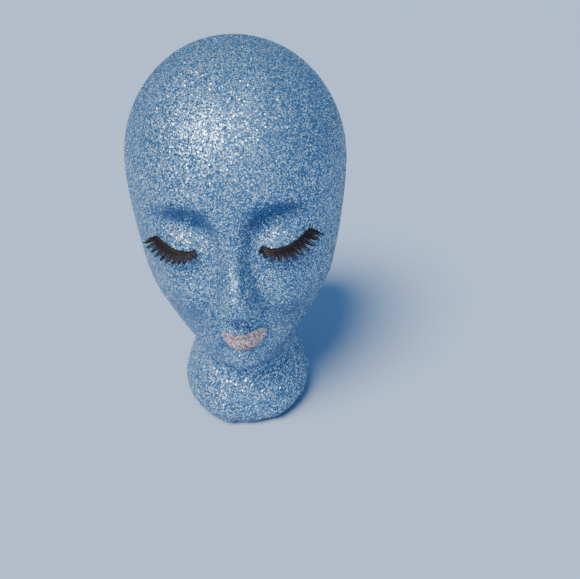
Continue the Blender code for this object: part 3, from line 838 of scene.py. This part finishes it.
# %% Blue and silver flakes
BLUE_FLAKES = flake_tints(0.6, 0.30, (
    ("silver_flake", (0.80, 0.90, 0.94), 0.26),
    ("ice_flake", (0.45, 0.64, 0.76), 0.26),
    ("sky_flake", (0.18, 0.36, 0.54), 0.26),
    ("deep_blue_flake", (0.05, 0.16, 0.34), 0.22),
))
FOOT_SHARES = (0.30, 0.34, 0.30, 0.06)
HEAD_TILT = 13  # degrees, the usual lean of a flake
FOOT_TILT = 17
HEAD_COVER = 0.32  # share of the surface that the flakes' area would cover
FOOT_COVER = 0.22
HEAD_FLAKE = 0.75  # average width
FOOT_FLAKE = 1.05
random = np.random.default_rng(7)


def flakes_per_area(cover, width):
    return cover / (HEXAGON_AREA * width**2)


def underside_loss(normals):
    """1 where a surface faces up or out, and less where it faces down."""
    return 1 - 0.93 * ease(0.12, 0.70, -normals[..., 2])


def head_density(places, normals):
    share = ease(THROAT_LEVEL, CHIN_LEVEL, places[..., 2])
    return flakes_per_area(HEAD_COVER, HEAD_FLAKE) * share * underside_loss(normals)


def foot_density(places, normals):
    share = 1 - ease(THROAT_LEVEL, CHIN_LEVEL, places[..., 2])
    return flakes_per_area(FOOT_COVER, FOOT_FLAKE) * share * underside_loss(normals)


places, normals = quad_scatter(skin_grid, head_density, random)
kept = ~on_lips(places)
places, normals = places[kept], normals[kept]
widths = HEAD_FLAKE * random.uniform(0.75, 1.3, len(places))
ahead, high = places[:, 1] < 8, places[:, 2] > BROW_LEVEL
quarters = (
    ("face_flakes", ahead & ~high),
    ("brow_flakes", ahead & high),
    ("nape_flakes", ~ahead & ~high),
    ("crown_flakes", ~ahead & high),
)
for name, part in quarters:
    add_flakes(
        name, places[part], normals[part], widths[part], HEAD_TILT, BLUE_FLAKES, "blue_glitter",
        ["glitter_coat"], random,
    )
places, normals = quad_scatter(skin_grid, foot_density, random)
widths = FOOT_FLAKE * random.uniform(0.75, 1.35, len(places))
foot_flakes = [(material, share) for (material, _), share in zip(BLUE_FLAKES, FOOT_SHARES)]
add_flakes(
    "neck_flakes", places, normals, widths, FOOT_TILT, foot_flakes, "blue_glitter", ["glitter_coat"], random
)

# %% [markdown]
# ## The lips
#
# The lips are painted with glue a second time and dipped in a finer pink glitter, so they stand
# slightly proud of the blue. The patch is a grid between its lower and upper edge, pressed onto the
# skin, thinner at its rim, and closed behind.

# %% Lip patch
LIP_COLUMNS = 64
LIP_ROWS = 28
LIP_RISE = 0.55
LIP_SINK = 0.1

PINK_BED = (
    (0.00, (0.200, 0.070, 0.100)),
    (0.30, (0.520, 0.280, 0.290)),
    (0.65, (0.800, 0.540, 0.500)),
    (1.00, (0.980, 0.860, 0.740)),
)
# The pink paint shows between the flakes, and on parts of the patch that face down it also serves as
# painted shade.
pink_glitter = glitter("pink_glitter", 0.9, PINK_BED, (0.30, 0.11, 0.14), 1.0)


def lip_rows():
    """Outer and inner points of the patch, one row for each share of the mouth's width."""
    shares = -np.cos(np.linspace(0, math.pi, LIP_COLUMNS))
    climbs = (1 - np.cos(np.linspace(0, math.pi, LIP_ROWS))) / 2
    outer, inner = [], []
    for share in shares:
        lower, upper = lip_edges(share)
        for climb in climbs:
            level = between(lower, upper, climb)
            across, level = turned(LIP_MIDDLE + share * MOUTH_WIDTH / 2, level, FACE_TILT)
            point, normal = face_point(across, level)
            inside = min(1.0, 5 * min(climb, 1 - climb)) * min(1.0, 7 * (1 - abs(share)))
            outer.append(point + normal * LIP_RISE * (0.35 + 0.65 * ease(0, 1, inside)))
            inner.append(point - normal * LIP_SINK)
    shape = (LIP_COLUMNS, LIP_ROWS, 3)
    return np.reshape(outer, shape), np.reshape(inner, shape)


def slab(front, back):
    """Points and faces of the solid between two grids."""
    columns, rows = front.shape[:2]
    points = np.concatenate([front.reshape(-1, 3), back.reshape(-1, 3)])
    behind = columns * rows
    faces = []
    for i in range(columns - 1):
        for j in range(rows - 1):
            a = i * rows + j
            faces.append((a, a + rows, a + rows + 1, a + 1))
            faces.append((behind + a, behind + a + 1, behind + a + rows + 1, behind + a + rows))
    rim = [i * rows for i in range(columns)]
    rim += [(columns - 1) * rows + j for j in range(1, rows)]
    rim += [i * rows + rows - 1 for i in range(columns - 2, -1, -1)]
    rim += [j for j in range(rows - 2, 0, -1)]
    for here, after in zip(rim, rim[1:] + rim[:1]):
        faces.append((after, here, behind + here, behind + after))
    return points, faces


lip_front, lip_back = lip_rows()
add_piece("lip_bed", *slab(lip_front, lip_back), [pink_glitter], "pink_glitter", ["lip_glitter"])

# %% Pink flakes
PINK_FLAKES = flake_tints(0.4, 0.34, (
    ("cream_flake", (0.98, 0.86, 0.70), 0.46),
    ("pink_flake", (0.88, 0.60, 0.56), 0.38),
    ("rose_flake", (0.50, 0.24, 0.28), 0.16),
))
LIP_FLAKE = 0.85
LIP_COVER = 0.5
LIP_TILT = 17

lip_grid = np.swapaxes(lip_front, 0, 1)[:, :-1]


def lip_density(places, normals):
    return np.full(places.shape[:2], flakes_per_area(LIP_COVER, LIP_FLAKE))


places, normals = quad_scatter(lip_grid, lip_density, random)
kept = on_lips(places)
widths = LIP_FLAKE * random.uniform(0.75, 1.3, kept.sum())
add_flakes(
    "lip_flakes", places[kept], normals[kept], widths, LIP_TILT, PINK_FLAKES, "pink_glitter",
    ["lip_glitter"], random,
)

# %% [markdown]
# ## The strip lashes
#
# A strip lash is a cotton thread with hairs knotted to it in bunches. A bead of glue holds the thread
# under the eyelid. The bunches fan out, more towards the temple, and each one's hairs start apart and
# run together to a point, so the strip is nearly solid at the thread and spiky at its edge. Each hair
# here is its own tapered tube. Its path leaves the thread, follows the cheek and curls up off it.

# %% The line of the thread
LASH_STRIPS = {
    "right": {"side": -1, "inner": 22.5, "outer": 45.5, "sag": 1.2, "lift": 5.0, "drop": -2.0},
    "left": {"side": 1, "inner": 18.0, "outer": 47.5, "sag": 2.0, "lift": 5.4, "drop": -1.9},
}
GLUE_LIFT = 0.45  # of the bead's middle off the skin
BAND_LIFT = 0.95  # of the thread's middle off the skin


def band_frame(strip, share, lift):
    """Where the thread is at this share of its length, lifted off the skin, and its directions:
    out along it, down the cheek, and away from the skin."""

    def on_skin(at):
        across = strip["side"] * between(strip["inner"], strip["outer"], at)
        sag = strip["sag"] * math.sin(math.pi * min(max(at, 0), 1) ** 0.8)
        level = LASH_LEVEL - strip["drop"] - sag + strip["lift"] * max(at, 0) ** 2.2
        return turned(across, level, FACE_TILT)

    across, level = on_skin(share)
    normal = smooth_normal(across, level)
    along = face_point(*on_skin(share + 0.02))[0] - face_point(*on_skin(share - 0.02))[0]
    along -= normal * (along @ normal)
    along /= np.linalg.norm(along)
    down = np.cross(along, normal) * strip["side"]
    return face_point(across, level)[0] + normal * lift, along, down, normal


def tube(path, radii, sides, ends=True):
    """Points and faces of a round tube along a path, with a radius, or one for each side, at each
    point of it."""
    path = np.asarray(path)
    forward = np.gradient(path, axis=0)
    forward /= np.linalg.norm(forward, axis=1, keepdims=True)
    over = np.cross(forward, (0.3, 0.2, 1.0))
    over /= np.linalg.norm(over, axis=1, keepdims=True)
    aside = np.cross(forward, over)
    turns = np.arange(sides) * 2 * math.pi / sides
    radii = np.broadcast_to(np.asarray(radii).reshape(len(path), -1), (len(path), sides))[..., None]
    spokes = over[:, None] * np.cos(turns)[:, None] + aside[:, None] * np.sin(turns)[:, None]
    return round_grid(path[:, None] + spokes * radii, path[0], path[-1])


def joined(parts):
    """One list of points and faces from several."""
    points, faces = [], []
    for part_points, part_faces in parts:
        start = len(points)
        points += list(part_points)
        faces += [tuple(start + corner for corner in face) for face in part_faces]
    return points, faces


# %% Thread and glue
def lash_thread():
    """Black cotton, a little fuzzy, with paler fibre ends."""
    finish = Finish("lash_thread", Roughness=0.8, Specular_IOR_Level=0.2)
    place = finish.node("ShaderNodeTexCoord")["Object"]
    fuzz = finish.node("ShaderNodeTexNoise", inputs={"Vector": place, "Scale": 5000.0})["Fac"]
    colour = finish.mix(fuzz.over(0.45, 0.75), (0.003, 0.003, 0.004, 1), (0.020, 0.017, 0.018, 1))
    finish.feed(finish.shader, {"Base Color": colour})
    return finish.material


def lash_glue():
    """Dried black lash glue, rubbery, with a little blue glitter dust in it."""
    finish = Finish("lash_glue", Roughness=0.45)
    place = finish.node("ShaderNodeTexCoord")["Object"]
    cloud = finish.node("ShaderNodeTexNoise", inputs={"Vector": place, "Scale": 900.0})["Fac"]
    colour = finish.mix(cloud.over(0.5, 0.75), (0.008, 0.008, 0.012, 1), (0.06, 0.11, 0.18, 1))
    finish.feed(finish.shader, {"Base Color": colour})
    return finish.material


THREAD_RADIUS = 0.40
KNOT_SPACING = 0.8
GLUE_RADIUS = 0.38
THREAD_SIDES = 10
thread_finish = lash_thread()
glue_finish = lash_glue()

for side, strip in LASH_STRIPS.items():
    shares = np.linspace(0, 1, 61)
    line = np.array([band_frame(strip, share, BAND_LIFT)[0] for share in shares])
    run = np.concatenate([[0], np.cumsum(np.linalg.norm(np.diff(line, axis=0), axis=1))])
    fine = np.linspace(0, run[-1], int(run[-1] / KNOT_SPACING * 5))
    path = np.stack([np.interp(fine, run, line[:, axis]) for axis in range(3)], axis=1)
    knots = abs(np.sin(math.pi * fine / KNOT_SPACING)) ** 0.7
    ends = ease(0, 0.6, fine) * ease(0, 0.6, run[-1] - fine)
    radii = THREAD_RADIUS * (0.74 + 0.30 * knots) * between(0.5, 1, ends)
    add_piece(
        f"thread_{side}", *tube(path, radii, THREAD_SIDES), [thread_finish], "lash_thread",
        [f"lash_band_{side}"],
    )
    bead = np.array([band_frame(strip, share, GLUE_LIFT)[0] for share in shares])
    bead = np.stack([np.interp(fine[::2], run, bead[:, axis]) for axis in range(3)], axis=1)
    lumps = random.uniform(0.75, 1.25, (len(bead), THREAD_SIDES))
    lumps = (lumps + np.roll(lumps, 1, axis=0) + np.roll(lumps, 1, axis=1)) / 3
    add_piece(
        f"glue_bead_{side}", *tube(bead, GLUE_RADIUS * lumps, THREAD_SIDES), [glue_finish], "lash_glue",
        [f"lash_glue_{side}"],
    )

# %% Hairs
LASH_CLUSTERS = 11
HAIRS_PER_CLUSTER = 32
HAIR_RADIUS = 0.16
HAIR_SIDES = 5
HAIR_STEPS = 8
STRAY_SHARE = 0.12  # of the hairs, which don't run together with their bunch
STRAY_LEAN = 14  # degrees
NEAT_LEAN = 4
INNER_LENGTH = 5.5
OUTER_LENGTH = 10.5


def lash_hair():
    """Fine synthetic fibre, nearly black, that shines reddish brown."""
    finish = Finish("lash_hair", Roughness=0.5, Specular_IOR_Level=0.3)
    place = finish.node("ShaderNodeTexCoord")["Object"]
    strand = finish.node("ShaderNodeTexNoise", inputs={"Vector": place, "Scale": 700.0})["Fac"]
    colour = finish.mix(strand.over(0.35, 0.7), (0.003, 0.0025, 0.003, 1), (0.022, 0.007, 0.005, 1))
    finish.feed(finish.shader, {"Base Color": colour})
    return finish.material


def hair_path(frame, fan, length):
    """The line of a hair: off the thread, down the cheek, then curling up."""
    point, along, down, normal = frame
    heading = down * math.cos(fan) + along * math.sin(fan)
    path = [point]
    for step in range(HAIR_STEPS):
        rise = math.radians(between(18, 62, step / HAIR_STEPS))
        point = point + (heading * math.cos(rise) + normal * math.sin(rise)) * length / HAIR_STEPS
        path.append(point)
    return np.array(path)


def cluster_hairs(strip, share, random):
    """The tubes of one bunch of hairs."""
    fan = math.radians(between(-6, 36, share**1.4))
    length = between(INNER_LENGTH, OUTER_LENGTH, min(1.0, share * 1.9) ** 0.8)
    middle = hair_path(band_frame(strip, share, BAND_LIFT), fan, length)
    climb = np.linspace(0, 1, HAIR_STEPS + 1)[:, None]
    spacing = 0.95 / (LASH_CLUSTERS - 1)
    tubes = []
    for spread in np.linspace(-0.62, 0.62, HAIRS_PER_CLUSTER):
        start = band_frame(strip, min(max(share + spread * spacing, -0.01), 1.01), BAND_LIFT)
        stray = random.random() < STRAY_SHARE
        lean = fan + random.normal(0, math.radians(STRAY_LEAN if stray else NEAT_LEAN))
        path = hair_path(start, lean, length * random.uniform(0.8, 1.03))
        gather = random.uniform(0.1, 0.4) if stray else random.uniform(0.6, 0.9)
        path = path + (middle - path) * gather * climb**2.2
        radii = HAIR_RADIUS * random.uniform(0.85, 1.15) * (1 - climb[:, 0] ** 2.2 * 0.86)
        tubes.append(tube(path, radii, HAIR_SIDES))
    return joined(tubes)


hair_finish = lash_hair()
for side, strip in LASH_STRIPS.items():
    for k in range(LASH_CLUSTERS):
        number = f"{side}_{k + 1:02d}"
        share = between(0.03, 0.98, k / (LASH_CLUSTERS - 1))
        add_piece(
            f"lash_hairs_{number}", *cluster_hairs(strip, share, random), [hair_finish], "lash_hair",
            [f"lash_cluster_{number}"],
        )

# %% [markdown]
# ## The size of the finished model
#
# The boxes of the imported model and of the finished one are printed side by side. The
# finished model has to stay as big as the imported one.

# %% Print the sizes
visual_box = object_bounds()
for name, box in (("packed", cad_box), ("finished", visual_box)):
    print(name, [round((high - low) / MM, 1) for low, high in zip(*box)], "mm")
